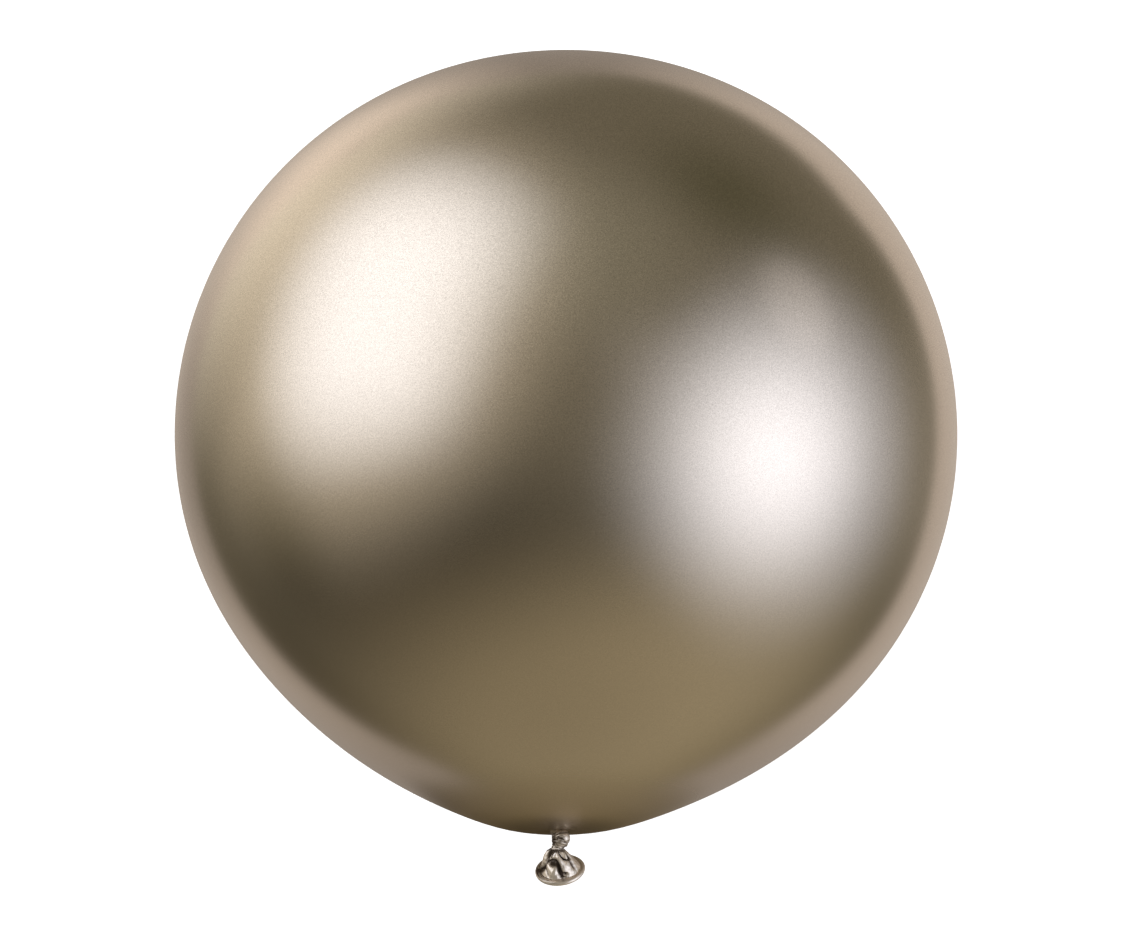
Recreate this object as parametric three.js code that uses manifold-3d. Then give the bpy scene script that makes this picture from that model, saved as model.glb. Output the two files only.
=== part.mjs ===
// A giant round latex balloon, blown up, tied in its own neck and lying on its side.
// Millimetres, +Z up. The crown points along +Y and the neck along -Y. The origin is the middle
// of the flat spot on the floor, straight below the middle of the body.
import * as THREE from "three";
import { mergeVertices } from "three/addons/utils/BufferGeometryUtils.js";
import Module from "manifold-3d";

// Body
const bodyDiameter = 800;
const flatSpotDiameter = 110;
const neckLean = 8;
const flankLean = 2;

// Neck and knot, each place measured from the middle of the knot's loop
const neckDiameter = 13;
const neckFillet = 5;
const loop = { diameter: 17.5, folds: 7, foldDepth: 0.08, pinchDepth: 0.3 };
const loopFromTip = new THREE.Vector3(-4.6, -7.4, 5);
const loopPinchSide = new THREE.Vector3(-0.86, -0.1, 0.5).normalize();
const stemBelowLoop = 3;
const strandDepth = 0.12;
const turns = [
  { right: -0.8, down: 5, back: 1.8, ringRadius: 5.8, thickness: 6, tilt: 0.36, strands: 5 },
  { right: -3.2, down: 7, back: 5.2, ringRadius: 5, thickness: 3, tilt: 0.22, strands: 3 },
  { right: -3.6, down: 8.8, back: 5.8, ringRadius: 4.9, thickness: 2.6, tilt: 0.1, strands: 3 },
];
const core = { right: -3, down: 4.5, back: 5, width: 12, length: 15 };

// Tail and mouth
const mouthDiameter = 50;
const beadDiameter = 3.4;
const tailLength = 23.5;
const tailTopDiameter = 12.5;
const skirtDiameter = 36.5;
const skirtEnd = 0.96;
const latexWall = 0.6;
const tailTopFromLoop = new THREE.Vector3(-4.4, -9.2, -6.2);
const tailDrift = 3.2;
const droopAtKnot = THREE.MathUtils.degToRad(24);
const droopAtMouth = THREE.MathUtils.degToRad(44);
const mouthTurn = THREE.MathUtils.degToRad(6);
// Each pleat: its angle at the knot and at the mouth, its half width in degrees, its depth and
// the share of the tail's length at which it has faded out.
const pleats = [
  { atKnot: 152, atMouth: 164, spread: 14, depth: 7, fadesAt: 0.95 },
  { atKnot: 118, atMouth: 82, spread: 9, depth: 8, fadesAt: 1 },
  { atKnot: 66, atMouth: 48, spread: 8, depth: 4.6, fadesAt: 0.6 },
  { atKnot: 28, atMouth: 38, spread: 10, depth: 4.2, fadesAt: 0.85 },
  { atKnot: -12, atMouth: -5, spread: 10, depth: 4, fadesAt: 0.8 },
  { atKnot: -50, atMouth: -42, spread: 10, depth: 4.6, fadesAt: 0.95 },
  { atKnot: -92, atMouth: -98, spread: 9, depth: 3.6, fadesAt: 0.7 },
  { atKnot: -128, atMouth: -120, spread: 10, depth: 4.8, fadesAt: 0.95 },
  { atKnot: -166, atMouth: -172, spread: 9, depth: 3.4, fadesAt: 0.7 },
];

// Number of facets
const bodySides = 56;
const bodySteps = 30;
const loopSides = 35;
const loopSteps = 12;
const turnSides = 10;
const turnSteps = 24;
const tailSides = 66;
const tailSteps = 8;
const hollowFromStep = 2;
const beadSteps = 8;

const bodyRadius = bodyDiameter / 2;
const centreHeight = Math.sqrt(bodyRadius ** 2 - (flatSpotDiameter / 2) ** 2);
const wasm = await Module();
wasm.setup();

const bell = (x, middle, spread) => Math.exp(-0.5 * ((x - middle) / spread) ** 2);

// Radius of the blown-up skin at an angle from the neck, as a share of the widest radius: a
// blunt cone at the neck, drawn in above it like a pear, full at the shoulder and a little flat
// at the crown.
function skinShare(degrees) {
  return (
    1 +
    0.0275 * bell(degrees, 0, 10) -
    0.0115 * bell(degrees, 0, 4.5) -
    0.0235 * bell(degrees, 38, 21) +
    0.004 * bell(degrees, 122, 22) -
    0.0105 * bell(degrees, 180, 21)
  );
}

// Sideways shift of the axis at an angle from the neck: the neck leans one way, the flank the other.
function axisShift(degrees) {
  return flankLean * bell(degrees, 48, 14) - neckLean * bell(degrees, 0, 16);
}

const neckTip = -bodyRadius * skinShare(0);
const loopCentre = new THREE.Vector3(0, neckTip, 0).add(loopFromTip);
const fromLoop = ({ right, down, back }) => new THREE.Vector3(right, -down, -back).add(loopCentre);

// Moves every vertex of a geometry to where place(vertex) says.
function reshape(geometry, place) {
  const position = geometry.getAttribute("position");
  const vertex = new THREE.Vector3();
  for (let i = 0; i < position.count; i++) {
    vertex.fromBufferAttribute(position, i);
    const moved = place(vertex);
    position.setXYZ(i, moved.x, moved.y, moved.z);
  }
  return geometry;
}

function solidOf(geometry) {
  const bare = geometry.clone();
  bare.deleteAttribute("normal");
  bare.deleteAttribute("uv");
  const merged = mergeVertices(bare, 1e-3);
  return new wasm.Manifold(
    new wasm.Mesh({
      numProp: 3,
      vertProperties: merged.getAttribute("position").array,
      triVerts: new Uint32Array(merged.index.array),
    }),
  );
}

function geometryOf(solid) {
  const mesh = solid.getMesh();
  const geometry = new THREE.BufferGeometry();
  geometry.setAttribute("position", new THREE.BufferAttribute(mesh.vertProperties, 3));
  geometry.setIndex(new THREE.BufferAttribute(mesh.triVerts, 1));
  return geometry;
}

// The blown-up body with the stem of the neck, revolved about Y and then leant.
function makeBody() {
  const neckRadius = neckDiameter / 2;
  const filletAngle = THREE.MathUtils.radToDeg(Math.asin((neckRadius + neckFillet) / bodyRadius));
  const stemEnd = loopCentre.y - stemBelowLoop;
  const profile = [new THREE.Vector2(0, stemEnd), new THREE.Vector2(neckRadius, stemEnd)];
  profile.push(new THREE.Vector2(neckRadius, neckTip - neckFillet * 0.6));
  profile.push(new THREE.Vector2(neckRadius + neckFillet * 0.3, neckTip - neckFillet * 0.1));
  for (let i = 0; i <= bodySteps; i++) {
    const degrees = filletAngle + (180 - filletAngle) * (i / bodySteps);
    const angle = THREE.MathUtils.degToRad(degrees);
    const radius = bodyRadius * skinShare(degrees);
    const across = i === bodySteps ? 0 : radius * Math.sin(angle);
    profile.push(new THREE.Vector2(across, -radius * Math.cos(angle)));
  }
  const lathe = new THREE.LatheGeometry(profile, bodySides);
  return reshape(lathe, (v) => {
    const across = Math.hypot(v.x, v.z);
    const degrees = THREE.MathUtils.radToDeg(Math.atan2(across, -v.y));
    return new THREE.Vector3(v.x + axisShift(degrees), v.y, v.z);
  });
}

// The loop that bulges out of the knot: a ball with folds that fan out from a pinch in its side.
function makeLoop() {
  const ball = new THREE.SphereGeometry(loop.diameter / 2, loopSides, loopSteps);
  const aim = new THREE.Quaternion().setFromUnitVectors(new THREE.Vector3(0, 1, 0), loopPinchSide);
  return reshape(ball, (v) => {
    const around = Math.atan2(v.z, v.x);
    const fromPinch = THREE.MathUtils.radToDeg(v.angleTo(new THREE.Vector3(0, 1, 0)));
    const fold = loop.foldDepth * Math.abs(Math.sin((loop.folds * around) / 2));
    const fade = Math.sin(THREE.MathUtils.degToRad(fromPinch));
    const pinch = loop.pinchDepth * bell(fromPinch, 0, 22);
    return v.clone().multiplyScalar(1 - fold * fade - pinch).applyQuaternion(aim).add(loopCentre);
  });
}

// One turn of the neck round itself: a ring with strands along it, tilted so that its right
// side lies nearer the mouth.
function makeTurn(turn) {
  const ring = new THREE.TorusGeometry(1, 0.5, turnSides, turnSteps);
  const level = new THREE.Matrix4().makeRotationX(-Math.PI / 2);
  const lean = new THREE.Matrix4().makeRotationZ(-turn.tilt);
  return reshape(ring, (v) => {
    const turned = Math.atan2(v.y, v.x);
    const outward = new THREE.Vector3(Math.cos(turned), Math.sin(turned), 0);
    const around = Math.atan2(v.z, Math.hypot(v.x, v.y) - 1);
    const strand = 1 - strandDepth * Math.abs(Math.sin((turn.strands * around) / 2));
    const radius = (turn.thickness / 2) * strand;
    return outward
      .multiplyScalar(turn.ringRadius + radius * Math.cos(around))
      .add(new THREE.Vector3(0, 0, radius * Math.sin(around)))
      .applyMatrix4(level)
      .applyMatrix4(lean)
      .add(fromLoop(turn));
  });
}

// What the turns are pulled tight on, which fills the middle of the knot.
function makeCore() {
  const middle = fromLoop(core);
  const filling = new THREE.SphereGeometry(0.5, 16, 10);
  filling.scale(core.width, core.length, core.width);
  filling.translate(middle.x, middle.y, middle.z);
  return filling;
}

// How far the gathered tail is drawn in at an angle round it and a share of its length.
function pleatDepth(degrees, share) {
  let depth = 0;
  for (const pleat of pleats) {
    const middle = pleat.atKnot + (pleat.atMouth - pleat.atKnot) * share;
    const apart = ((((degrees - middle) % 360) + 540) % 360) - 180;
    const fullness = Math.min(1, 0.4 + share * 2.2) * Math.max(0, 1 - (share / pleat.fadesAt) ** 3);
    depth += pleat.depth * fullness * bell(apart, 0, pleat.spread);
  }
  return depth;
}

// Radius of the tail's outer skin before it is pleated, at a share of its length.
function skirtRadius(share) {
  const top = tailTopDiameter / 2;
  const skirt = skirtDiameter / 2;
  const rim = (mouthDiameter - beadDiameter) / 2;
  return top + (skirt - top) * Math.sin((share * Math.PI) / 2) ** 0.75 + (rim - skirt) * share ** 10;
}

// The tail: an open, pleated bell of bare latex with a rolled bead round its mouth.
// Its axis bends from the knot to the mouth, which hangs lower.
function makeTail() {
  const bead = beadDiameter / 2;
  const rim = mouthDiameter / 2 - bead;
  const top = tailTopDiameter / 2;
  const root = -0.15 * tailLength;
  const profile = [new THREE.Vector2(0, root), new THREE.Vector2(top * 0.8, root)];
  const shares = Array.from({ length: tailSteps + 1 }, (_, i) => (i / tailSteps) * skirtEnd);
  shares.forEach((share) => profile.push(new THREE.Vector2(skirtRadius(share), share * tailLength)));
  for (let i = 0; i <= beadSteps; i++) {
    const angle = THREE.MathUtils.degToRad(-120 + (300 * i) / beadSteps);
    const along = tailLength + bead * Math.sin(angle);
    profile.push(new THREE.Vector2(rim + bead * Math.cos(angle), along));
  }
  for (const share of shares.slice(hollowFromStep).reverse()) {
    profile.push(new THREE.Vector2(skirtRadius(share) - latexWall, share * tailLength));
  }
  profile.push(new THREE.Vector2(0, shares[hollowFromStep] * tailLength - latexWall));
  const tailTop = loopCentre.clone().add(tailTopFromLoop);
  const lathe = new THREE.LatheGeometry(profile.reverse(), tailSides);
  return reshape(lathe, (v) => {
    const share = Math.min(Math.max(v.y / tailLength, 0), 1);
    const across = Math.hypot(v.x, v.z);
    const around = Math.atan2(v.z, v.x);
    const fade = Math.min(1, (1 - share) / 0.08) * Math.min(1, across / top);
    const radius = across - pleatDepth(THREE.MathUtils.radToDeg(around), share) * fade;
    const droop = droopAtKnot + (droopAtMouth - droopAtKnot) * share;
    const mean = (droopAtKnot + droop) / 2;
    const turn = mouthTurn * share;
    const axis = new THREE.Vector3(
      Math.sin(turn),
      -Math.cos(droop) * Math.cos(turn),
      -Math.sin(droop) * Math.cos(turn),
    );
    const right = new THREE.Vector3(
      Math.cos(turn),
      Math.cos(droop) * Math.sin(turn),
      Math.sin(droop) * Math.sin(turn),
    );
    const front = new THREE.Vector3().crossVectors(axis, right);
    const spine = new THREE.Vector3(tailDrift * share, -Math.cos(mean) * v.y, -Math.sin(mean) * v.y);
    return tailTop
      .clone()
      .add(spine)
      .addScaledVector(right, radius * Math.cos(around))
      .addScaledVector(front, radius * Math.sin(around));
  });
}

// Everything under the floor line is cut away, which leaves the flat spot the balloon lies on.
function cutFlatSpot(solid) {
  const below = new THREE.BoxGeometry(bodyDiameter, bodyDiameter, bodyDiameter);
  below.translate(0, 0, -centreHeight - bodyRadius);
  return solid.subtract(solidOf(below));
}

function makeBalloon() {
  const pieces = [makeBody(), makeLoop(), ...turns.map(makeTurn), makeCore(), makeTail()];
  const tied = pieces.map(solidOf).reduce((all, solid) => all.add(solid));
  const latex = new THREE.MeshStandardMaterial({ color: 0xa8987c, roughness: 0.32, metalness: 0.9 });
  const mesh = new THREE.Mesh(geometryOf(cutFlatSpot(tied)), latex);
  mesh.name = "balloon";
  mesh.position.z = centreHeight;
  return mesh;
}

const balloon = new THREE.Group();
balloon.add(makeBalloon());

export default balloon;
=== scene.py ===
import math

import bpy
import numpy as np
from mathutils import Matrix, Vector


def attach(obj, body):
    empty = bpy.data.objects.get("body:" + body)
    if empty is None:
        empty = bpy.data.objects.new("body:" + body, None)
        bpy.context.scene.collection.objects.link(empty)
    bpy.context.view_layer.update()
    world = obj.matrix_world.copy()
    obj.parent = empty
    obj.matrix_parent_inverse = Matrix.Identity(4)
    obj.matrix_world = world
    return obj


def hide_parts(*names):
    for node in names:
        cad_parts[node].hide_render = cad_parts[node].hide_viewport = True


bl_info = {
    "name": "Giant latex balloon",
    "version": (1, 0, 0),
    "blender": (4, 5, 0),
    "location": "3D View > Sidebar > Balloon",
    "description": "Models a giant round latex balloon tied in its own neck",
    "category": "Add Mesh",
}

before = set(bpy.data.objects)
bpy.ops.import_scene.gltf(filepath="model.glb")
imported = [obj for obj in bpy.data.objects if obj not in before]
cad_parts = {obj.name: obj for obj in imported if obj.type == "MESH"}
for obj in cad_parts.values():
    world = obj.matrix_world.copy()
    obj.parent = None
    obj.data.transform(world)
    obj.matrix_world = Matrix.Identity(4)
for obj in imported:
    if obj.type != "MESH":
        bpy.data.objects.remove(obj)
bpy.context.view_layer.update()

MM = 0.001


def length(name, about, default):
    return bpy.props.FloatProperty(name=name, description=about, default=default, unit="LENGTH")


def share(name, about, default):
    return bpy.props.FloatProperty(name=name, description=about, default=default, subtype="FACTOR")


def angle(name, about, degrees):
    default = math.radians(degrees)
    return bpy.props.FloatProperty(name=name, description=about, default=default, subtype="ANGLE")


def colour(name, about, default):
    return bpy.props.FloatVectorProperty(name=name, description=about, default=default, subtype="COLOR")


class BalloonSizes(bpy.types.PropertyGroup):
    body_diameter: length("Body diameter", "Widest diameter of the blown-up body", 0.8)
    flat_spot: length("Flat spot", "Diameter of the patch it lies on", 0.11)
    neck_diameter: length("Neck diameter", "Diameter of the stem above the knot", 0.013)
    neck_fillet: length("Neck fillet", "Radius between the body's tip and the stem", 0.005)
    neck_lean: length("Neck lean", "How far the neck leans to the left", 0.008)
    flank_lean: length("Flank lean", "How far the flank leans to the right", 0.002)
    loop_diameter: length("Knot loop", "Diameter of the loop that bulges out of the knot", 0.0175)
    mouth_diameter: length("Mouth diameter", "Outer diameter of the rolled rim", 0.05)
    bead_diameter: length("Rim bead", "Thickness of the rolled rim", 0.0042)
    tail_length: length("Tail length", "Length of the tail along its axis", 0.0235)
    tail_top: length("Tail at the knot", "Diameter of the tail under the knot", 0.0125)
    skirt_diameter: length("Skirt diameter", "Diameter of the tail's skirt inside the rim", 0.0365)
    skirt_flare: length("Skirt flare", "How far the skirt flares on towards the rim", 0.0036)
    rim_groove: length("Rim groove", "Depth of the groove between the skirt and the rim", 0.0016)
    latex_wall: length("Latex wall", "Thickness of the tail's latex", 0.0006)
    droop_at_knot: angle("Droop at the knot", "How far the tail's start points down", 24)
    droop_at_mouth: angle("Droop at the mouth", "How far the tail's mouth points down", 44)
    mouth_turn: angle("Mouth turn", "How far the mouth turns to the right", 6)


class BalloonFinish(bpy.types.PropertyGroup):
    skin_colour: colour("Skin", "Metallic colour of the stretched skin", (0.72, 0.637, 0.536))
    neck_colour: colour("Skin by the neck", "Colour of the less stretched skin", (0.60, 0.50, 0.37))
    bare_colour: colour("Bare latex", "Colour of the unstretched knot and tail", (0.95, 0.84, 0.71))
    # Painted shade: the colour that folds, creases, the stem and the skin round the neck are darkened
    # towards
    fold_shade_colour: colour("Folds", "Colour deep in the folds of the knot and tail", (0.07, 0.046, 0.032))
    skin_roughness: share("Skin roughness", "Roughness of the stretched skin", 0.22)
    neck_roughness: share("Roughness by the neck", "Roughness of the less stretched skin", 0.45)
    bare_roughness: share("Bare roughness", "Roughness of the unstretched latex", 0.21)
    bare_metal: share("Bare metal", "How metallic the unstretched latex looks", 0.6)
    flakes: share("Flakes", "How strongly the metal flakes vary", 0.36)


class BalloonStudio(bpy.types.PropertyGroup):
    camera_tip: angle("Camera tip", "Angle of the camera from straight above, towards the neck", 16)
    camera_distance: length("Camera distance", "From the camera to the body's middle", 3.0)
    lens_pixels: bpy.props.FloatProperty(
        name="Lens", description="Focal length in pixels of the photograph", default=2910
    )
    floor_colour: colour("Floor", "Colour of the plain pale floor", (0.93, 0.93, 0.93))
    light_strength: share("Lights", "Strength of the soft studio lights", 1.0)


def sizes():
    return bpy.context.scene.balloon_sizes


def finish():
    return bpy.context.scene.balloon_finish


def studio():
    return bpy.context.scene.balloon_studio


# Shape helpers
def bell(x, middle, spread):
    """1 in the middle, falling off softly on both sides."""
    return np.exp(-0.5 * ((x - middle) / spread) ** 2)


def smooth(x, none, full):
    """0 at none and beyond, 1 at full and beyond, and a soft step between them."""
    t = np.clip((x - none) / (full - none), 0, 1)
    return t * t * (3 - 2 * t)


def wrap(degrees):
    """The same angle, from -180 to 180 degrees."""
    return (degrees + 180) % 360 - 180


def valley(phase, sharpness=1.0):
    """1 at the bottom of a crease and 0 on the ridge between two creases."""
    return (1 - np.abs(np.sin(phase / 2))) ** sharpness


def line_distance(x, y, path):
    """Distance of points from a drawn line, and how far along it their nearest place is, 0 to 1."""
    steps = [math.dist(a, b) for a, b in zip(path, path[1:])]
    best = np.full(x.shape, np.inf)
    along = np.zeros(x.shape)
    gone = 0.0
    for (ax, ay), (bx, by), step in zip(path, path[1:], steps):
        t = np.clip(((x - ax) * (bx - ax) + (y - ay) * (by - ay)) / step**2, 0, 1)
        apart = np.hypot(x - ax - t * (bx - ax), y - ay - t * (by - ay))
        nearer = apart < best
        best = np.where(nearer, apart, best)
        along = np.where(nearer, (gone + t * step) / sum(steps), along)
        gone += step
    return best, along


def crease(x, y, path, half_width, depth):
    """Depth of a crease drawn along a line, which runs out at both ends."""
    apart, along = line_distance(x, y, path)
    runs_out = 0.45 + 0.55 * np.sin(np.pi * np.clip(along, 0.02, 0.98)) ** 0.5
    cut = 0.6 * np.exp(-((apart / half_width) ** 1.3)) + 0.4 * bell(apart, 0, half_width)
    return depth * runs_out * cut


def start_piece():
    """Deselects all, so that the next primitive is the only thing an operator acts on."""
    if bpy.context.object and bpy.context.object.mode != "OBJECT":
        bpy.ops.object.mode_set(mode="OBJECT")
    bpy.ops.object.select_all(action="DESELECT")


def new_piece(name):
    piece = bpy.context.object
    piece.name = piece.data.name = name
    return piece


def chain(points, name):
    """A profile drawn as by hand: one vertex, extruded from point to point."""
    start_piece()
    bpy.ops.mesh.primitive_circle_add(vertices=3, radius=0.01, location=points[0])
    piece = new_piece(name)
    bpy.ops.object.mode_set(mode="EDIT")
    bpy.ops.mesh.select_all(action="SELECT")
    bpy.ops.mesh.merge(type="CENTER")
    for here, there in zip(points, points[1:]):
        bpy.ops.mesh.extrude_region_move(TRANSFORM_OT_translate={"value": there - here})
    return piece


def spin_closed(piece, centre, steps):
    """Spins the profile once round the Y axis, closes the seam and the poles, and faces it outwards."""
    bpy.ops.mesh.select_all(action="SELECT")
    bpy.ops.mesh.spin(steps=steps, angle=math.tau, center=centre, axis=(0, 1, 0))
    bpy.ops.mesh.select_all(action="SELECT")
    bpy.ops.mesh.remove_doubles(threshold=1e-6)
    bpy.ops.mesh.normals_make_consistent(inside=False)
    bpy.ops.object.mode_set(mode="OBJECT")
    settle(piece)


def settle(piece):
    """The piece's place goes into its mesh, and its object to the origin."""
    start_piece()
    piece.select_set(True)
    bpy.context.view_layer.objects.active = piece
    bpy.ops.object.transform_apply(location=True, rotation=True, scale=True)


def points_of(piece):
    co = np.empty(len(piece.data.vertices) * 3)
    piece.data.vertices.foreach_get("co", co)
    return co.reshape(-1, 3)


def put_points(piece, co):
    piece.data.vertices.foreach_set("co", np.asarray(co, dtype=np.float32).ravel())
    piece.data.update()


def paint_fold_shade(piece, inside):
    """Notes on the mesh how much painted shade each point gets, for the finish."""
    note = piece.data.attributes.new("fold", "FLOAT", "POINT")
    note.data.foreach_set("value", np.asarray(inside, dtype=np.float32))


def turn_into(co, matrix):
    return co @ np.array(matrix).T


# The body
def body_centre():
    s = sizes()
    return Vector((0, 0, math.sqrt((s.body_diameter / 2) ** 2 - (s.flat_spot / 2) ** 2)))


def skin_share(degrees):
    """Radius of the skin at an angle from the neck, as a share of the widest radius."""
    at_neck = 0.0275 * bell(degrees, 0, 10) - 0.0115 * bell(degrees, 0, 4.5)
    at_shoulder = -0.0235 * bell(degrees, 38, 21)
    at_crown = 0.004 * bell(degrees, 122, 22) - 0.0105 * bell(degrees, 180, 21)
    return 1 + at_neck + at_shoulder + at_crown


def body_tip():
    return -sizes().body_diameter / 2 * skin_share(0.0)


# The middle of the knot's loop, from the body's tip: right, along the neck and up, in millimetres
LOOP_FROM_TIP = (-4.6, -7.4, 5)
# Where the stem ends past the loop's middle and starts below the tip, in millimetres
STEM_PAST_LOOP = 6.5
STEM_BELOW_TIP = 4.2
# Round the neck the skin gets painted shade: how much, and from where to where from the tip, in
# millimetres
NECK_SHADE = 0.47
NECK_SHADE_FROM_TO = (95, 35)
BODY_STEPS = 192


def loop_centre():
    right, out, up = LOOP_FROM_TIP
    return body_centre() + Vector((right * MM, body_tip() + out * MM, up * MM))


def body_profile():
    """Radius and place along the neck's axis, from the stem's end to the far pole."""
    s = sizes()
    radius, neck, fillet = s.body_diameter / 2, s.neck_diameter / 2, s.neck_fillet
    stem_end = loop_centre().y - STEM_PAST_LOOP * MM
    stem_start = body_tip() - STEM_BELOW_TIP * MM
    profile = [(0, stem_end), (neck * 0.7, stem_end)]
    for t in np.linspace(0.15, 1, 6):
        waist = 1 - 0.25 * (1 - t) ** 2
        profile.append((neck * waist, stem_end + (stem_start - stem_end) * t))
    flare = 0.8 * fillet
    for turn in np.radians(np.linspace(10, 90, 9)):
        out = neck + flare * (1 - math.cos(turn))
        profile.append((out, stem_start + 0.92 * fillet * math.sin(turn)))
    first = math.degrees(math.asin((neck + flare) / radius)) + 0.5
    for d in [*np.geomspace(first, 12, 12)[:-1], *np.linspace(12, 180, 118)]:
        r = radius * skin_share(d)
        a = math.radians(d)
        profile.append((r * math.sin(a) if d < 180 else 0, -r * math.cos(a)))
    return profile


def build_body():
    """The blown-up body with its twisted stem, cut off flat where it lies on the ground."""
    s = sizes()
    centre = body_centre()
    body = chain([centre + Vector((r, y, 0)) for r, y in body_profile()], "body")
    spin_closed(body, centre, BODY_STEPS)
    co = points_of(body)
    across = np.hypot(co[:, 0] - centre.x, co[:, 2] - centre.z)
    degrees = np.degrees(np.arctan2(across, centre.y - co[:, 1]))
    stem = smooth(co[:, 1], body_tip(), body_tip() - 4 * MM)
    # Coarse creases twist one way round the stem, and fine ones the other way
    turned = np.arctan2(co[:, 2] - centre.z, co[:, 0] - centre.x)
    twist = valley(7 * turned + 500 * co[:, 1], 1.3) + 0.5 * valley(17 * turned - 300 * co[:, 1])
    thin = 1 - 0.12 * twist * stem
    co[:, 0] = centre.x + (co[:, 0] - centre.x) * thin
    co[:, 2] = centre.z + (co[:, 2] - centre.z) * thin
    co[:, 0] += s.flank_lean * bell(degrees, 48, 14) - s.neck_lean * bell(degrees, 0, 16)
    put_points(body, co)
    # The stem and the skin round the neck get painted shade, noted on the mesh
    from_tip = np.hypot(across, body_tip() - co[:, 1]) / MM
    paint_fold_shade(body, np.maximum(stem, NECK_SHADE * smooth(from_tip, *NECK_SHADE_FROM_TO)))
    bpy.ops.object.mode_set(mode="EDIT")
    bpy.ops.mesh.select_all(action="SELECT")
    bpy.ops.mesh.bisect(plane_co=(0, 0, 0), plane_no=(0, 0, 1), use_fill=True, clear_inner=True)
    bpy.ops.object.mode_set(mode="OBJECT")
    return body


# The knot. Places and sizes are in millimetres from the loop's middle
TURNS = [
    # place, radius and thickness of the ring, its tilt in radians, its strands of latex, and how
    # deep the creases between them are as a share
    {"place": (-1.6, -4.2, -1.6), "ring": 6.0, "thick": 4.8, "tilt": 0.3, "strands": 3, "deep": 0.07},
    {"place": (-2.8, -6.6, -4.6), "ring": 5.2, "thick": 3.0, "tilt": 0.22, "strands": 2, "deep": 0.16},
    {"place": (-3.6, -8.8, -5.8), "ring": 4.9, "thick": 2.6, "tilt": 0.1, "strands": 2, "deep": 0.16},
]
CORE_PLACE = (-3, -4.5, -5)
CORE_HALVES = (6, 7.5, 6)
# The side where the loop is pinched and its folds start
PINCH_SIDE = Vector((-0.86, -0.1, 0.5)).normalized()
LOOP_CREASES = [
    # path to the right and up, as the camera sees it, half width and depth, all in millimetres
    ([(-7.5, 2), (-5, 5), (-1, 6.4), (3, 5.8), (5.5, 3.6)], 0.5, 0.4),
    ([(-6.5, 0.5), (-3.5, 2.6), (0, 3.8), (3.5, 3)], 0.45, 0.55),
    ([(-5, -1), (-3, 1.4), (0.5, 0.6), (2.6, -0.8)], 1.1, 1.1),
    ([(-7, 0), (-4, -1.6), (-0.5, -3), (3, -3.4), (7, -5)], 0.5, 1.2),
    ([(-6, -3), (-3, -4.6), (1, -5.8), (5, -6.4)], 0.5, 1.1),
    ([(-1, 2), (2, 2), (4.2, 0.2)], 0.3, 0.3),
]
STRAP_CREASES = [
    ([(-6.5, -5), (-2, -7.4), (3, -8), (6.8, -6.2)], 0.5, 0.9),
    ([(-5.5, -7.2), (-1.5, -9.2), (4, -9.4)], 0.4, 0.8),
]


def view_axes():
    """The camera's right, its up, and the direction from the body to the camera."""
    tip = studio().camera_tip
    toward = Vector((0, -math.sin(tip), math.cos(tip)))
    up = Vector((0, math.cos(tip), math.sin(tip)))
    return Vector((1, 0, 0)), up, toward


def carve_front(co, middle, creases):
    """Presses drawn creases into the upper side of a piece of the knot, and says how deep, for their
    painted shade.
    """
    right, up, toward = (np.array(axis) for axis in view_axes())
    away = (co - np.array(loop_centre())) / MM
    x, y = away @ right, away @ up
    out = co - np.array(middle)
    reach = np.linalg.norm(out, axis=1)
    out /= np.maximum(reach, 1e-9)[:, None]
    front = smooth(out @ toward, -0.1, 0.25)
    depth = front * sum(crease(x, y, path, wide, deep) for path, wide, deep in creases)
    return co - out * (depth * MM)[:, None], np.clip(depth / 0.9, 0, 1)


def build_loop():
    """The loop that bulges out of the knot, with folds that swirl from where it is pinched."""
    start_piece()
    bpy.ops.mesh.primitive_uv_sphere_add(segments=160, ring_count=80, radius=sizes().loop_diameter / 2)
    loop = new_piece("loop")
    co = points_of(loop)
    around = np.arctan2(co[:, 1], co[:, 0])
    polar = np.degrees(np.arctan2(np.hypot(co[:, 0], co[:, 1]), co[:, 2]))
    swirl = around + 0.5 * np.sin(np.radians(polar))
    waves = 5 * swirl + 0.8 * np.sin(2 * swirl)
    folds = 0.045 * valley(waves, 1.6) + 0.015 * valley(11 * swirl, 1.3)
    folds *= np.sin(np.radians(polar)) ** 0.7 * (1 - 0.5 * smooth(polar, 80, 150))
    co *= (1 - folds - 0.1 * bell(polar, 0, 18))[:, None]
    aim = Vector((0, 0, 1)).rotation_difference(PINCH_SIDE).to_matrix()
    co = turn_into(co, aim) + np.array(loop_centre())
    co, inside = carve_front(co, loop_centre(), LOOP_CREASES)
    put_points(loop, co)
    # Painted shade in the creases and between the strands, a little all over, and more on the loop's left
    # side
    left = smooth((co[:, 0] - loop_centre().x) / MM, -3.5, -7.5)
    strands = valley(waves, 2.2)
    paint_fold_shade(loop, np.maximum.reduce([inside, 0.8 * strands, 0.2 + 0.6 * left]))
    return loop


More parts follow.
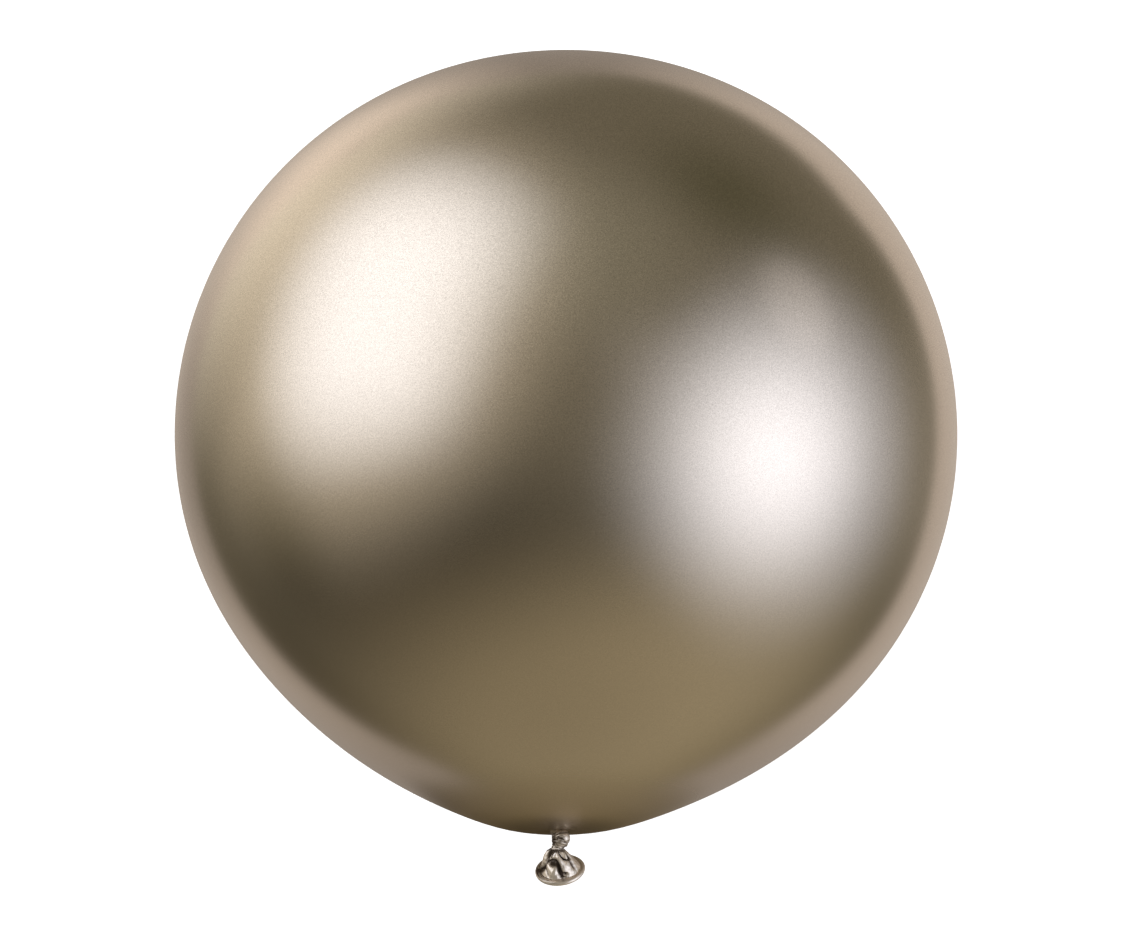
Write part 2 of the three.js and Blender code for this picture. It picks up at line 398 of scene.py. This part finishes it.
def build_turn(index, turn):
    """One slanting turn of twisted latex round the knot."""
    ring_radius, half = turn["ring"] * MM, turn["thick"] / 2 * MM
    start_piece()
    bpy.ops.mesh.primitive_torus_add(
        major_radius=ring_radius, minor_radius=half, major_segments=130, minor_segments=44
    )
    ring = new_piece(f"turn_{index}")
    co = points_of(ring)
    turned = np.arctan2(co[:, 1], co[:, 0])
    around = np.arctan2(co[:, 2], np.hypot(co[:, 0], co[:, 1]) - ring_radius)
    twist = around + 0.35 * np.sin(turned + index) + 0.12 * np.sin(3 * turned)
    strand = 1 - turn["deep"] * valley(turn["strands"] * twist, 1.4)
    strand -= 0.04 * valley(7 * twist + 2 * np.sin(turned), 1.2)
    radius = half * strand * (1 + 0.06 * np.sin(turned * 2 + 1.1 * index))
    out = ring_radius + radius * np.cos(around)
    co = np.stack([np.cos(turned) * out, np.sin(turned) * out, radius * np.sin(around)], 1)
    lean = Matrix.Rotation(-turn["tilt"], 3, "Z") @ Matrix.Rotation(-math.pi / 2, 3, "X")
    middle = loop_centre() + Vector(turn["place"]) * MM
    co, inside = carve_front(turn_into(co, lean) + np.array(middle), middle, STRAP_CREASES)
    put_points(ring, co)
    # Painted shade between the strands and in the creases, over the whole turn, and more on its left side
    left = smooth((co[:, 0] - loop_centre().x) / MM, -4, -7)
    turn_shade = np.maximum(0.9 * smooth(strand, 0.98, 0.88), 0.56 + 0.28 * left)
    paint_fold_shade(ring, np.maximum(inside, turn_shade))
    return ring


def build_core():
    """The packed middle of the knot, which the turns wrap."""
    start_piece()
    bpy.ops.mesh.primitive_uv_sphere_add(segments=48, ring_count=24, radius=1)
    core = new_piece("core")
    middle = loop_centre() + Vector(CORE_PLACE) * MM
    put_points(core, points_of(core) * np.array(CORE_HALVES) * MM + np.array(middle))
    return core


# The tail. Angles run round its axis, 90 up towards the camera; shares run from knot to mouth
PLEATS = [
    # angles at the knot and at the mouth, half width in degrees, depth in millimetres, share where it ends
    (152, 168, 10, 3.0, 0.9),
    (66, 48, 7, 2.0, 0.5),
    (28, 38, 9, 2.6, 0.8),
    (-12, -5, 10, 4.0, 0.8),
    (-50, -42, 10, 4.6, 0.95),
    (-92, -98, 9, 3.6, 0.7),
    (-128, -120, 10, 4.8, 0.95),
    (-166, -172, 9, 3.4, 0.7),
]
# Drawn over the photograph. A scratch script turned most of their pixels into angles and shares
TAIL_CREASES = [
    # path of angle and share, half width and depth in millimetres; a negative depth is a ridge
    ([(132, 0), (136, 0.12), (142, 0.26), (150, 0.46)], 1.3, 6.0),
    ([(118, 0.02), (120, 0.14), (124, 0.26)], 0.5, 2.0),
    ([(158, 0.04), (155, 0.16), (152, 0.3)], 1.2, 4.0),
    ([(184, 0), (184, 0.2), (182, 0.5)], 3.0, -2.4),
    ([(150, 0.62), (162, 0.8), (182, 0.93)], 2.2, 3.6),
    ([(98, 0), (107, 0.10), (116, 0.24)], 0.6, -2.2),
    ([(150, 0.5), (134, 0.39), (119, 0.33), (106, 0.32)], 0.7, 2.2),
    ([(127, 0.45), (113, 0.46), (100, 0.47)], 1.3, 4.0),
    ([(112, 0.38), (98, 0.39), (91, 0.5), (88, 0.6), (86, 0.73), (81, 0.86)], 1.9, 6.5),
    ([(152, 0.52), (143, 0.64), (132, 0.74), (125, 0.84)], 0.8, 1.6),
    ([(116, 0.62), (110, 0.72), (104, 0.8)], 3.2, -1.6),
    ([(93, 0.03), (88, 0.2), (82, 0.38), (77, 0.58), (71, 0.78)], 1.4, -1.2),
    ([(76, 0), (79, 0.13), (72, 0.23), (62, 0.33), (44, 0.385), (26, 0.39)], 0.6, 3.4),
    ([(6, 0), (22, 0.11), (27, 0.24), (24, 0.39)], 0.55, 3.4),
    ([(42, 0), (47, 0.13), (46, 0.27)], 1.8, -1.6),
    ([(32, 0.42), (32, 0.5), (33, 0.66), (30, 0.82)], 1.5, 1.0),
    ([(75, 0.47), (73, 0.6)], 0.4, 0.7),
    ([(77, 0.75), (66, 0.77)], 1.2, 2.4),
    ([(80, 0.70), (69, 0.68), (60, 0.72)], 0.6, -0.7),
    ([(86, 0.87), (74, 0.88), (64, 0.885)], 0.35, 1.0),
    ([(-8, 0.02), (2, 0.15), (4, 0.3)], 0.8, -0.8),
]
# Shares of the tail's length: where the skirt meets the bead, where the groove beside the bead lies,
# where the hollow ends towards the knot, and how far the tail starts inside the knot
SKIRT_END = 0.955
GROOVE_AT = 0.93
INSIDE_ENDS = 0.2
STARTS_IN_KNOT = -0.15
# Length of the skirt from knot to rim over its slanting side, in millimetres
SLANT = 27.0
TAIL_STEPS = 300
# The top of the tail's axis from the loop's middle and the mouth's drift to the right, in millimetres
TAIL_TOP_FROM_LOOP = (-4.4, -9.2, -6.2)
TAIL_DRIFT = 3.2


def pleat_depth(degrees, along):
    """How far the folds press the skirt in, and how much painted shade each place gets, from 0 to 1."""
    depth = np.zeros_like(degrees)
    for at_knot, at_mouth, spread, deep, fades in PLEATS:
        apart = wrap(degrees - at_knot - (at_mouth - at_knot) * along)
        full = np.minimum(1, 0.4 + along * 2.2) * np.maximum(0, 1 - (along / fades) ** 3)
        narrow, wide = np.exp(-((np.abs(apart) / spread) ** 1.35)), bell(apart, 0, spread)
        depth += deep * full * (0.65 * narrow + 0.35 * wide)
    reach = np.array([skirt_radius(t, 0) for t in along]) / MM
    inside = 0.16 * depth
    starts = smooth(along, 0.0, 0.07)
    for path, wide, deep in TAIL_CREASES:
        # Measured in millimetres over the skirt, at the width that it has there
        middle = path[len(path) // 2][0]
        x = np.radians(wrap(degrees - middle)) * reach
        line = [(math.radians(at - middle) * skirt_radius(t, 0) / MM, t * SLANT) for at, t in path]
        cut = crease(x, along * SLANT, line, wide, deep) * starts
        depth += cut
        inside += np.maximum(cut, 0) / (0.8 + 0.5 * abs(deep))
    # Fine gathers beside the knot, and a slight crumple all over
    around = np.radians(degrees)
    fine = 0.3 * valley(around * 31 + 2 * np.sin(around * 3), 1.2)
    fine *= np.maximum(0, 1 - along / 0.5) ** 1.5
    crumple = np.sin(around * 19 + 9 * along) * np.sin(along * 33 + 4 * np.sin(around * 5))
    depth += fine + 0.14 * crumple * np.minimum(1, along * 3)
    most = 0.62 * reach
    return most * np.tanh(depth / most) * MM, np.clip(inside, 0, 1)


def skirt_radius(along, groove_width=0.01):
    """Radius of the smooth skirt at a share of its length, with the groove beside the bead."""
    s = sizes()
    top, skirt = s.tail_top / 2, s.skirt_diameter / 2
    out = top + (skirt - top) * math.sin(along * math.pi / 2) ** 0.75 + s.skirt_flare * along**5
    if not groove_width:
        return out
    return out - s.rim_groove * math.exp(-0.5 * ((along - GROOVE_AT) / groove_width) ** 2)


def tail_profile():
    """Radius and place along the tail: up the outside, round the rim and back inside."""
    s = sizes()
    bead = s.bead_diameter / 2
    rim = s.mouth_diameter / 2 - bead
    start = STARTS_IN_KNOT * s.tail_length
    profile = [(0, start), (s.tail_top * 0.4, start)]
    outer = [*np.linspace(0, 0.88, 46), *np.linspace(0.89, SKIRT_END, 10)]
    profile += [(skirt_radius(t), t * s.tail_length) for t in outer]
    for a in np.radians(np.linspace(-158, 158, 20)):
        profile.append((rim + bead * math.cos(a), s.tail_length + bead * math.sin(a)))
    inner = [t for t in outer[::-1] if t >= INSIDE_ENDS]
    profile += [(skirt_radius(t, 0.03) - s.latex_wall, t * s.tail_length) for t in inner]
    profile.append((0, inner[-1] * s.tail_length - s.latex_wall))
    return profile


def build_tail():
    """The open tail: spun, pleated and creased, then bent down from the knot."""
    s = sizes()
    tail = chain([Vector((r, -y, 0)) for r, y in tail_profile()], "tail")
    spin_closed(tail, (0, 0, 0), TAIL_STEPS)
    co = points_of(tail)
    along = -co[:, 1]
    part = np.clip(along / s.tail_length, 0, 1)
    across = np.hypot(co[:, 0], co[:, 2])
    around = np.arctan2(co[:, 2], co[:, 0])
    fade = smooth(part, 0.965, 0.91) * np.minimum(1, across / (s.tail_top / 2))
    depth, inside = pleat_depth(np.degrees(around), part)
    put_points(tail, bend_tail(across - depth * fade, around, along, part))
    # Painted shade in the folds and creases, in the groove beside the bead, most to the left, at the top
    # under the knot and inside the hollow, but none on the bead
    to_left = bell(wrap(np.degrees(around) - 170), 0, 40)
    groove = bell(part, GROOVE_AT, 0.012) * (0.35 + 0.65 * to_left)
    top = 0.75 * smooth(part, 0.13, 0.04)
    outside = np.array([skirt_radius(t) for t in part])
    hollow_shade = 0.9 * (across < outside - s.latex_wall / 2) * smooth(part, 0.6, 0.22)
    paint_fold_shade(tail, np.maximum.reduce([inside, groove, top, hollow_shade]) * smooth(part, 0.975, 0.95))
    return tail


def bend_tail(radius, around, along, part):
    """Places points of the straight tail round its drooping, slightly turned axis."""
    s = sizes()
    turn = s.mouth_turn * part
    droop = s.droop_at_knot + (s.droop_at_mouth - s.droop_at_knot) * part
    mean = (s.droop_at_knot + droop) / 2
    axis = np.stack([np.sin(turn), -np.cos(droop) * np.cos(turn), -np.sin(droop) * np.cos(turn)], 1)
    right = np.stack([np.cos(turn), np.cos(droop) * np.sin(turn), np.sin(droop) * np.sin(turn)], 1)
    front = np.cross(axis, right)
    spine = np.stack([TAIL_DRIFT * MM * part, -np.cos(mean) * along, -np.sin(mean) * along], 1)
    spine += np.array(loop_centre() + Vector(TAIL_TOP_FROM_LOOP) * MM)
    return spine + right * (radius * np.cos(around))[:, None] + front * (radius * np.sin(around))[:, None]


def weld(pieces, name):
    """Joins closed pieces into one closed skin."""
    first = pieces[0]
    for other in pieces[1:]:
        start_piece()
        first.select_set(True)
        bpy.context.view_layer.objects.active = first
        cut = first.modifiers.new("weld", "BOOLEAN")
        cut.operation, cut.solver, cut.object = "UNION", "MANIFOLD", other
        bpy.ops.object.modifier_apply(modifier=cut.name)
        bpy.data.objects.remove(other)
    first.name = first.data.name = name
    return first


# Finish. Places along the neck's axis, in metres: where the browner skin by the neck, the bare latex
# and the calmer grain go over into the rest
NECK_SKIN_FROM_TO = (-0.40, -0.36)
BARE_FROM_TO = (-0.412, -0.400)
CALM_TO_GRAINY = (-0.26, 0.05)
# From which mark on the painted fold shade becomes visible, and where it is as dark as it gets
FOLD_SHADE_FROM_TO = (0.12, 0.9)
DARKEST_FOLD_SHADE = 0.95
FLAKE_SCALE = 850
CRINKLE_SCALE = 520
CRINKLE_HEIGHT = 0.0003
CRINKLE_STRENGTH = 0.35


def add_node(tree, kind, **values):
    """Adds a node, with values for its sockets or its settings."""
    node = tree.nodes.new(kind)
    for key, value in values.items():
        if key in node.inputs:
            node.inputs[key].default_value = value
        else:
            setattr(node, key, value)
    return node


def map_range(tree, value, old, new, smoothly=False):
    """Maps a socket from one range of numbers to another, held at both ends."""
    kind = "SMOOTHSTEP" if smoothly else "LINEAR"
    node = add_node(tree, "ShaderNodeMapRange", interpolation_type=kind)
    for key, number in zip(("From Min", "From Max", "To Min", "To Max"), (*old, *new)):
        node.inputs[key].default_value = number
    tree.links.new(value, node.inputs["Value"])
    return node.outputs["Result"]


def calculate(tree, operation, first, second=None):
    node = add_node(tree, "ShaderNodeMath", operation=operation)
    for socket, value in zip(node.inputs, (first, second)):
        if isinstance(value, (int, float)):
            socket.default_value = value
        elif value is not None:
            tree.links.new(value, socket)
    return node.outputs["Value"]


def mix_colours(tree, amount, first, second):
    mix = add_node(tree, "ShaderNodeMix", data_type="RGBA")
    tree.links.new(amount, mix.inputs["Factor"])
    for key, value in (("A", first), ("B", second)):
        if isinstance(value, bpy.types.NodeSocket):
            tree.links.new(value, mix.inputs[key])
        else:
            mix.inputs[key].default_value = (*value, 1)
    return mix.outputs["Result"]


def scale_colour(tree, value, amount):
    scale = add_node(tree, "ShaderNodeVectorMath", operation="SCALE")
    tree.links.new(value, scale.inputs[0])
    tree.links.new(amount, scale.inputs["Scale"])
    return scale.outputs["Vector"]


def latex_material():
    """Satin metallic latex: browner by the neck, and crinkled and less metallic where it is bare."""
    f = finish()
    material = bpy.data.materials.new("metallic_latex")
    material.use_nodes = True
    tree = material.node_tree
    shader = tree.nodes["Principled BSDF"]
    place = add_node(tree, "ShaderNodeTexCoord").outputs["Object"]
    split = add_node(tree, "ShaderNodeSeparateXYZ")
    tree.links.new(place, split.inputs[0])
    by_neck = map_range(tree, split.outputs["Y"], NECK_SKIN_FROM_TO, (1, 0), smoothly=True)
    bare = map_range(tree, split.outputs["Y"], BARE_FROM_TO, (1, 0), smoothly=True)
    tint = mix_colours(tree, by_neck, f.skin_colour, f.neck_colour)
    tint = mix_colours(tree, bare, tint, f.bare_colour)
    flakes = add_node(tree, "ShaderNodeTexNoise", Scale=FLAKE_SCALE, Detail=3, Roughness=0.75)
    tree.links.new(place, flakes.inputs["Vector"])
    grain = map_range(tree, flakes.outputs["Fac"], (0.25, 0.75), (-f.flakes, f.flakes))
    grainy = map_range(tree, split.outputs["Y"], CALM_TO_GRAINY, (0.3, 1))
    grain = calculate(tree, "MULTIPLY", grain, grainy)
    tint = scale_colour(tree, tint, calculate(tree, "ADD", grain, 1.0))
    # Painted shade, darkest in folds and creases, on the stem and round the neck, as noted on the mesh
    folds = add_node(tree, "ShaderNodeAttribute", attribute_name="fold")
    inside = map_range(tree, folds.outputs["Fac"], FOLD_SHADE_FROM_TO, (0, DARKEST_FOLD_SHADE), smoothly=True)
    tint = mix_colours(tree, inside, tint, f.fold_shade_colour)
    tree.links.new(tint, shader.inputs["Base Color"])
    rough = map_range(tree, by_neck, (0, 0.8), (f.skin_roughness, f.neck_roughness))
    change = calculate(tree, "SUBTRACT", f.bare_roughness, rough)
    rough = calculate(tree, "ADD", rough, calculate(tree, "MULTIPLY", change, bare))
    tree.links.new(rough, shader.inputs["Roughness"])
    crinkle = add_node(tree, "ShaderNodeTexNoise", Scale=CRINKLE_SCALE, Detail=3)
    tree.links.new(place, crinkle.inputs["Vector"])
    bump = add_node(tree, "ShaderNodeBump", Distance=CRINKLE_HEIGHT)
    tree.links.new(crinkle.outputs["Fac"], bump.inputs["Height"])
    tree.links.new(map_range(tree, bare, (0, 1), (0, CRINKLE_STRENGTH)), bump.inputs["Strength"])
    tree.links.new(bump.outputs["Normal"], shader.inputs["Normal"])
    tree.links.new(map_range(tree, bare, (0, 1), (1, f.bare_metal)), shader.inputs["Metallic"])
    return material


# Studio
def direction(polar, azimuth):
    """World direction from an angle off the camera's axis and an angle round it, in degrees."""
    right, up, toward = view_axes()
    p, a = math.radians(polar), math.radians(azimuth)
    return (toward * math.cos(p) + (right * math.cos(a) + up * math.sin(a)) * math.sin(p)).normalized()


def lean_towards(tree, towards):
    """How far the looked-at direction leans towards a direction, as a cosine."""
    dot = add_node(tree, "ShaderNodeVectorMath", operation="DOT_PRODUCT")
    dot.inputs[1].default_value = towards
    tree.links.new(tree.nodes["place"].outputs["Generated"], dot.inputs[0])
    return dot.outputs["Value"]


def add_light(tree, sky, amount, light):
    """Adds a light, where its amount is above nothing, to the light of the surroundings."""
    scale = add_node(tree, "ShaderNodeVectorMath", operation="SCALE")
    scale.inputs[0].default_value = [c * studio().light_strength for c in light]
    tree.links.new(amount, scale.inputs["Scale"])
    total = add_node(tree, "ShaderNodeVectorMath", operation="ADD")
    tree.links.new(sky, total.inputs[0])
    tree.links.new(scale.outputs["Vector"], total.inputs[1])
    return total.outputs["Vector"]


def add_lobe(tree, sky, towards, inner, outer, light):
    """Adds a soft round patch of light to the surroundings, in degrees from its middle."""
    apart = calculate(tree, "ARCCOSINE", lean_towards(tree, towards))
    edge = (math.radians(inner), math.radians(outer))
    return add_light(tree, sky, map_range(tree, apart, edge, (1, 0), smoothly=True), light)


def add_softbox(tree, sky, box):
    """Adds a soft-edged panel of light that faces the balloon."""
    towards = direction(box["polar"], box["azimuth"])
    first = towards.cross(view_axes()[2]).normalized()
    second = towards.cross(first)
    turn = math.radians(box["roll"])
    along = first * math.cos(turn) + second * math.sin(turn)
    across = second * math.cos(turn) - first * math.sin(turn)
    ahead = calculate(tree, "MAXIMUM", lean_towards(tree, towards), 0.05)
    amount = map_range(tree, ahead, (0.05, 0.2), (0, 1))
    for side, half, fade in zip((along, across), box["halves"], box["fades"]):
        apart = calculate(tree, "DIVIDE", calculate(tree, "ABSOLUTE", lean_towards(tree, side)), ahead)
        edge = map_range(tree, apart, (half, half + fade), (1, 0), smoothly=True)
        amount = calculate(tree, "MULTIPLY", edge, amount)
    return add_light(tree, sky, amount, box["light"])


# Even light from all directions, and soft round patches that add to it or take from it. Most values
# are rounded from a least-squares fit to the photograph's tones, as are the panel's and the card's light.
# The second row and the last four were set one by one, and the eighth was changed after the fit
SURROUNDINGS = (0.164, 0.147, 0.106)
LOBES = [
    # angle off the camera's axis, angle round it, full inside, gone outside, light
    (78, -108, 7, 93, (-0.161, -0.145, -0.104)),
    (155, -90, 5, 60, (-0.14, -0.135, -0.12)),
    (71.5, 153.5, 25, 71, (0.485, 0.438, 0.356)),
    (51.4, -8.3, 0.5, 48.5, (0.673, 0.722, 0.860)),
    (70.8, -6.2, 0, 55, (0.859, 0.929, 1.138)),
    (89.3, -83.8, 18.4, 69.8, (0.288, 0.246, 0.161)),
    (81.4, 29.7, 7, 13.6, (0.203, 0.2, 0.217)),
    (135.5, 135, 0, 42.3, (0.76, 0.71, 0.63)),
    (55.7, 87.2, 4.7, 42, (0.078, 0.08, 0.067)),
    (91, 56, 0, 28, (-0.07, -0.06, -0.055)),
    (93.5, 196, 0, 24, (-0.12, -0.11, -0.1)),
    (30.5, 47, 0, 20, (0.06, 0.06, 0.065)),
    (122, -3, 5, 28, (0.08, 0.075, 0.07)),
]
# A panel whose half sides and fades are tangents of the angle from its middle
SOFTBOX = {
    "polar": 67.7,
    "azimuth": 145,
    "roll": 22.3,
    "halves": (0.192, 0.095),
    "fades": (0.987, 0.89),
    "light": (0.847, 0.965, 1.239),
}
# The pale card under the balloon, which only reflections show as the band along the outline. Its
# places are in metres from under the body, and its edges were worked out from where that band ends
CARD_SIZE = 3.6
CARD_DROP = 0.002
CARD_EDGES = [
    # angle the edge faces, distance from under the body, half width of its fade
    (-8.6, 0.922, 0.06),
    (-33.6, 0.78, 0.06),
    (-62, 0.77, 0.12),
    (-90, 0.85, 0.1),
    (-148.3, 0.78, 0.06),
    (-169.4, 0.85, 0.05),
    (62, 1.45, 0.14),
    (90, 1.75, 0.15),
]
CARD_GAP = {"middle": (-0.03, -0.62, 0), "inner": 0.18, "outer": 0.32}
CARD_SHINE = {"middle": (-0.95, 1.1, 0), "inner": 0.1, "outer": 0.9, "more": 0.8}
CARD_SHADE = {"middle": (-0.95, 0.05, 0), "inner": 0.1, "outer": 0.55, "more": -0.28}
CARD_LIGHT = (0.487, 0.426, 0.374)
# How the card's strength changes: over which places, and between which values
CARD_FROM_MIDDLE = ((0.1, 0.5), (0.65, 1.2))
CARD_TO_RIGHT = ((-1, 1), (0.88, 1.08))
CARD_FROM_NECK = ((-0.7, 0.3), (0.72, 1))
FLOOR_SIZE = 24
FLOOR_GLOW = 0.8
DOME_RADIUS = 12
DOME_GLOW = 0.97
PHOTO_WIDTH = 1134
SENSOR_WIDTH = 36
# The middle of the body from the middle of the photograph, in its pixels to the right and up
BODY_IN_PHOTO = (-1, 23.5)


def build_surroundings():
    """The soft light that the balloon reflects, from all directions."""
    world = bpy.data.worlds.new("studio")
    bpy.context.scene.world = world
    world.use_nodes = True
    tree = world.node_tree
    tree.nodes.new("ShaderNodeTexCoord").name = "place"
    base = add_node(tree, "ShaderNodeCombineXYZ")
    for socket, value in zip(base.inputs, SURROUNDINGS):
        socket.default_value = value * studio().light_strength
    sky = base.outputs["Vector"]
    for polar, azimuth, inner, outer, light in LOBES:
        sky = add_lobe(tree, sky, direction(polar, azimuth), inner, outer, light)
    sky = add_softbox(tree, sky, SOFTBOX)
    lit = add_node(tree, "ShaderNodeVectorMath", operation="MAXIMUM")
    tree.links.new(sky, lit.inputs[0])
    tree.links.new(lit.outputs["Vector"], tree.nodes["Background"].inputs["Color"])


def card_material():
    """A pale card under the balloon that fades out at its sides and below the neck."""
    material = bpy.data.materials.new("pale_card")
    material.use_nodes = True
    tree = material.node_tree
    tree.nodes.clear()
    place = tree.nodes.new("ShaderNodeTexCoord").outputs["Object"]
    split = add_node(tree, "ShaderNodeSeparateXYZ")
    tree.links.new(place, split.inputs[0])
    near = []
    for patch in (CARD_GAP, CARD_SHINE, CARD_SHADE):
        apart = add_node(tree, "ShaderNodeVectorMath", operation="DISTANCE")
        apart.inputs[1].default_value = patch["middle"]
        tree.links.new(place, apart.inputs[0])
        rim = (patch["inner"], patch["outer"])
        near.append(map_range(tree, apart.outputs["Value"], rim, (1, 0), smoothly=True))
    amount = calculate(tree, "SUBTRACT", 1.0, near[0])
    for faces, reach, fade in CARD_EDGES:
        facing = add_node(tree, "ShaderNodeVectorMath", operation="DOT_PRODUCT")
        turn = math.radians(faces)
        facing.inputs[1].default_value = (math.cos(turn), math.sin(turn), 0)
        tree.links.new(place, facing.inputs[0])
        rim = (reach - fade, reach + fade)
        edge = map_range(tree, facing.outputs["Value"], rim, (1, 0), smoothly=True)
        amount = calculate(tree, "MULTIPLY", amount, edge)
    clear = add_node(tree, "ShaderNodeBsdfTransparent")
    glow = add_node(tree, "ShaderNodeEmission", Color=(*CARD_LIGHT, 1))
    from_middle = calculate(tree, "ABSOLUTE", split.outputs["X"])
    strength = map_range(tree, from_middle, *CARD_FROM_MIDDLE)
    to_right = map_range(tree, split.outputs["X"], *CARD_TO_RIGHT)
    from_neck = map_range(tree, split.outputs["Y"], *CARD_FROM_NECK)
    shine = calculate(tree, "MULTIPLY", to_right, from_neck)
    for spot, patch in zip(near[1:], (CARD_SHINE, CARD_SHADE)):
        shine = calculate(tree, "ADD", calculate(tree, "MULTIPLY", spot, patch["more"]), shine)
    tree.links.new(calculate(tree, "MULTIPLY", strength, shine), glow.inputs["Strength"])
    mix = tree.nodes.new("ShaderNodeMixShader")
    for socket, value in zip(mix.inputs, (amount, clear.outputs[0], glow.outputs[0])):
        tree.links.new(value, socket)
    out = tree.nodes.new("ShaderNodeOutputMaterial")
    tree.links.new(mix.outputs[0], out.inputs["Surface"])
    return material


def pale_material(name, paint, glow):
    """A matt pale surface that glows evenly, so that it stays plain behind the balloon."""
    material = bpy.data.materials.new(name)
    material.use_nodes = True
    shader = material.node_tree.nodes["Principled BSDF"]
    shader.inputs["Base Color"].default_value = (*paint, 1)
    shader.inputs["Roughness"].default_value = 0.9
    shader.inputs["Specular IOR Level"].default_value = 0
    shader.inputs["Emission Color"].default_value = (1, 1, 1, 1)
    shader.inputs["Emission Strength"].default_value = glow
    return material


def stage_piece(name, material, seen):
    """Gives the new primitive its finish, and shows it to the camera or to reflections alone."""
    piece = new_piece(name)
    piece.data.materials.append(material)
    piece.visible_camera, piece.visible_glossy = seen, not seen
    piece.visible_diffuse = piece.visible_transmission = piece.visible_shadow = False
    return piece


def build_stage():
    """The plain floor and the dome round it, and the card that only reflections show."""
    start_piece()
    bpy.ops.mesh.primitive_plane_add(size=FLOOR_SIZE)
    stage_piece("floor", pale_material("pale_floor", studio().floor_colour, FLOOR_GLOW), True)
    start_piece()
    bpy.ops.mesh.primitive_uv_sphere_add(segments=64, ring_count=32, radius=DOME_RADIUS)
    stage_piece("dome", pale_material("pale_wall", (0, 0, 0), DOME_GLOW), True)
    start_piece()
    bpy.ops.mesh.primitive_plane_add(size=CARD_SIZE, location=(0, 0, -CARD_DROP))
    settle(stage_piece("card", card_material(), False))


def build_camera():
    """The camera at the photograph's angle, turned so that the body lies as in the photograph."""
    st = studio()
    lens = bpy.data.cameras.new("camera")
    camera = bpy.data.objects.new("camera", lens)
    bpy.context.scene.collection.objects.link(camera)
    lens.sensor_width = SENSOR_WIDTH
    lens.lens = st.lens_pixels / PHOTO_WIDTH * SENSOR_WIDTH
    lens.clip_start, lens.clip_end = 0.05, 60
    back = direction(0, 0)
    camera.location = body_centre() + back * st.camera_distance
    seen = Vector((*BODY_IN_PHOTO, -st.lens_pixels)).normalized()
    aim = (-back).to_track_quat("-Z", "Y") @ seen.rotation_difference(Vector((0, 0, -1)))
    camera.rotation_euler = aim.to_euler()
    bpy.context.scene.camera = camera
    bpy.context.scene.view_settings.view_transform = "Standard"
    bpy.context.scene.view_settings.look = "None"


class BALLOON_OT_studio(bpy.types.Operator):
    """Sets up the plain pale floor, the soft studio light and the camera"""

    bl_idname = "balloon.studio"
    bl_label = "Studio"

    def execute(self, context):
        build_surroundings()
        build_stage()
        build_camera()
        return {"FINISHED"}


class BALLOON_OT_body(bpy.types.Operator):
    """Models the blown-up body with its stem"""

    bl_idname = "balloon.body"
    bl_label = "Body"

    def execute(self, context):
        build_body()
        return {"FINISHED"}


class BALLOON_OT_knot(bpy.types.Operator):
    """Models the knot: its packed core, its loop and the turns of latex round it"""

    bl_idname = "balloon.knot"
    bl_label = "Knot"

    def execute(self, context):
        knot = [build_core(), build_loop()]
        knot += [build_turn(index, turn) for index, turn in enumerate(TURNS)]
        weld(knot, "knot")
        return {"FINISHED"}


class BALLOON_OT_tail(bpy.types.Operator):
    """Models the pleated tail with its rolled rim"""

    bl_idname = "balloon.tail"
    bl_label = "Tail"

    def execute(self, context):
        build_tail()
        return {"FINISHED"}


class BALLOON_OT_skin(bpy.types.Operator):
    """Welds body, knot and tail into one skin and gives it its finish"""

    bl_idname = "balloon.skin"
    bl_label = "Skin"

    def execute(self, context):
        skin = weld([bpy.data.objects[name] for name in ("body", "knot", "tail")], "balloon_skin")
        settle(skin)
        bpy.ops.object.shade_smooth_by_angle(angle=math.radians(50))
        skin.data.materials.clear()
        skin.data.materials.append(latex_material())
        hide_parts("balloon")
        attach(skin, "root")
        return {"FINISHED"}


STEPS = (BALLOON_OT_studio, BALLOON_OT_body, BALLOON_OT_knot, BALLOON_OT_tail, BALLOON_OT_skin)


class BALLOON_PT_panel(bpy.types.Panel):
    bl_idname = "BALLOON_PT_panel"
    bl_label = "Giant latex balloon"
    bl_space_type = "VIEW_3D"
    bl_region_type = "UI"
    bl_category = "Balloon"

    def draw(self, context):
        for step in STEPS:
            self.layout.operator(step.bl_idname)


GROUPS = {
    "balloon_sizes": BalloonSizes,
    "balloon_finish": BalloonFinish,
    "balloon_studio": BalloonStudio,
}
CLASSES = (*GROUPS.values(), *STEPS, BALLOON_PT_panel)


def register():
    for cls in CLASSES:
        bpy.utils.register_class(cls)
    for name, group in GROUPS.items():
        setattr(bpy.types.Scene, name, bpy.props.PointerProperty(type=group))


def unregister():
    for name in GROUPS:
        delattr(bpy.types.Scene, name)
    for cls in reversed(CLASSES):
        bpy.utils.unregister_class(cls)


def main():
    register()
    bpy.ops.balloon.studio()
    bpy.ops.balloon.body()
    bpy.ops.balloon.knot()
    bpy.ops.balloon.tail()
    bpy.ops.balloon.skin()


if __name__ == "__main__":
    main()
